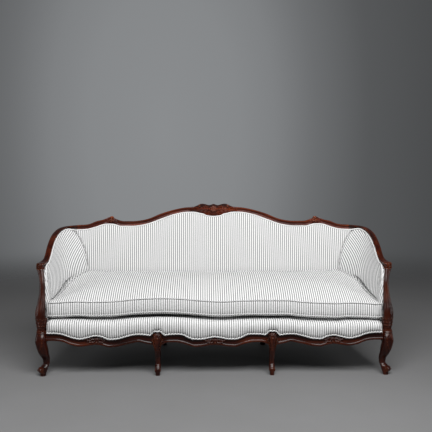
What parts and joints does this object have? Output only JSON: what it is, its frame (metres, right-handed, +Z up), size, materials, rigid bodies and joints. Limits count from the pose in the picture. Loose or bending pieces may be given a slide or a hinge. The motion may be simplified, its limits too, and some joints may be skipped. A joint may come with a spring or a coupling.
{
  "type": "cabriole sofa",
  "caption": "Carved show-wood sofa on cabriole legs with closed padded arms, striped cover and one long loose seat cushion.",
  "frame": {"origin": "centre of the sofa's box, at the floor", "axes": "+X to the right as one faces the sofa, along its length; +Y from the front to the back; +Z up"},
  "size_m": [2.096, 0.7451, 0.9511],
  "materials": {
    "show_wood": "polished",
    "frame_wood": "matte",
    "ticking": "matte",
    "welt": "matte",
    "hessian": "matte",
    "webbing": "matte",
    "dust_cloth": "matte",
    "steel": "satin"
  },
  "bodies": {
    "root": {"crest_rail": "show_wood", "arm_rail_left": "show_wood", "arm_rail_right": "show_wood", "arm_post_left": "show_wood", "arm_post_right": "show_wood", "front_leg_left": "show_wood", "front_leg_right": "show_wood", "front_mid_leg_left": "show_wood", "front_mid_leg_right": "show_wood", "rear_leg_left": "show_wood", "rear_leg_right": "show_wood", "rear_mid_leg_left": "show_wood", "rear_mid_leg_right": "show_wood", "front_rail_left": "show_wood", "front_rail_right": "show_wood", "front_rail_centre": "show_wood", "side_rail_left": "show_wood", "side_rail_right": "show_wood", "back_rail_left": "frame_wood", "back_rail_right": "frame_wood", "back_rail_centre": "frame_wood", "seat_brace_left": "frame_wood", "seat_brace_right": "frame_wood", "back_upright_left": "frame_wood", "back_upright_right": "frame_wood", "back_tack_rail": "frame_wood", "arm_tack_rail_left": "frame_wood", "arm_tack_rail_right": "frame_wood", "corner_blocks": "frame_wood", "frame_dowels": "frame_wood", "seat_deck": "ticking", "back_pad": "ticking", "arm_pad_left": "ticking", "arm_pad_right": "ticking", "outside_arm_cover_left": "ticking", "outside_arm_cover_right": "ticking", "outside_back_cover": "ticking", "front_rail_welt": "welt", "seat_hessian": "hessian", "back_hessian": "hessian", "back_webbing": "webbing", "arm_webbing_left": "webbing", "arm_webbing_right": "webbing", "bottom_cloth": "dust_cloth", "zigzag_springs": "steel", "spring_clips": "steel", "corner_block_screws": "steel", "bottom_cloth_tacks": "steel"},
    "seat_cushion": {"seat_cushion": "ticking"}
  },
  "joints": [
    {"name": "seat_cushion_lift", "type": "slide", "parent": "root", "child": "seat_cushion", "axis": [0, 0, 1], "range_m": [0, 0.3]}
  ]
}
